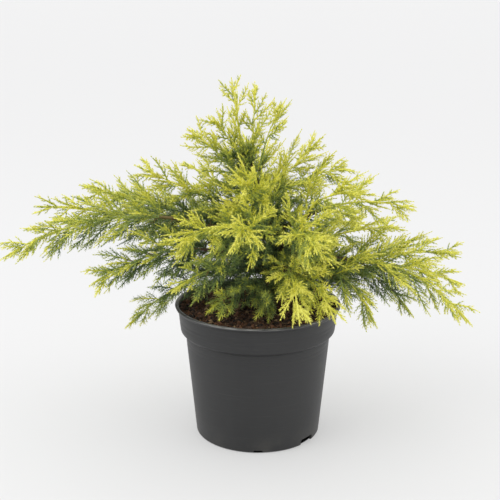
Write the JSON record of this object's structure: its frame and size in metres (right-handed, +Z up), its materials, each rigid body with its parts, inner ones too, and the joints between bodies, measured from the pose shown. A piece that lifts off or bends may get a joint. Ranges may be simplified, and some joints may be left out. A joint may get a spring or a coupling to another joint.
{
  "type": "potted juniper",
  "caption": "Golden spreading juniper with arching feathery plumes on a short leaning trunk, growing in a dark grey plastic nursery pot filled with peat.",
  "frame": {"origin": "centre of the pot's flat underside, on the surface it stands on", "axes": "+Z up; +X to the right and +Y away, seen from the plant's front; the crown's longest extent lies along X"},
  "size_m": [0.5338, 0.376, 0.4102],
  "materials": {
    "pot": "dark grey moulded plastic, soft satin sheen",
    "soil": "dark brown fibrous peat",
    "bark": "grey-brown shredding bark",
    "foliage": "golden yellow tips over mid and deep green needles"
  },
  "bodies": {
    "root": {"bough_back_left": "bark", "bough_back_left_low": "bark", "bough_back_middle": "bark", "bough_back_right": "bark", "bough_front_left_high": "bark", "bough_front_middle": "bark", "bough_front_middle_right": "bark", "bough_front_right": "bark", "bough_left_back": "bark", "bough_left_high": "bark", "bough_left_long": "bark", "bough_left_low": "bark", "bough_left_upper": "bark", "bough_right_back": "bark", "bough_right_high": "bark", "bough_right_long": "bark", "bough_right_low": "bark", "bough_right_middle": "bark", "foliage_back_left": "foliage", "foliage_back_left_low": "foliage", "foliage_back_low": "foliage", "foliage_back_middle": "foliage", "foliage_back_right": "foliage", "foliage_front_left": "foliage", "foliage_front_left_high": "foliage", "foliage_front_middle": "foliage", "foliage_front_middle_right": "foliage", "foliage_front_right": "foliage", "foliage_front_right_rim": "foliage", "foliage_inner_right": "foliage", "foliage_leader": "foliage", "foliage_left_back": "foliage", "foliage_left_hanging": "foliage", "foliage_left_high": "foliage", "foliage_left_long": "foliage", "foliage_left_low": "foliage", "foliage_left_upper": "foliage", "foliage_low_front": "foliage", "foliage_low_front_left": "foliage", "foliage_right_back": "foliage", "foliage_right_hanging": "foliage", "foliage_right_high": "foliage", "foliage_right_long": "foliage", "foliage_right_low": "foliage", "foliage_right_middle": "foliage", "foliage_right_rim": "foliage", "foliage_top_left": "foliage", "foliage_top_right": "foliage", "foliage_top_right_low": "foliage", "foliage_upper_back": "foliage", "foliage_upper_front": "foliage", "foliage_upper_front_right": "foliage", "foliage_upper_left": "foliage", "foliage_upper_left_back": "foliage", "foliage_upper_left_front": "foliage", "foliage_upper_right": "foliage", "foliage_upper_right_back": "foliage", "pot": "pot", "soil": "soil", "trunk": "bark"}
  },
  "joints": []
}
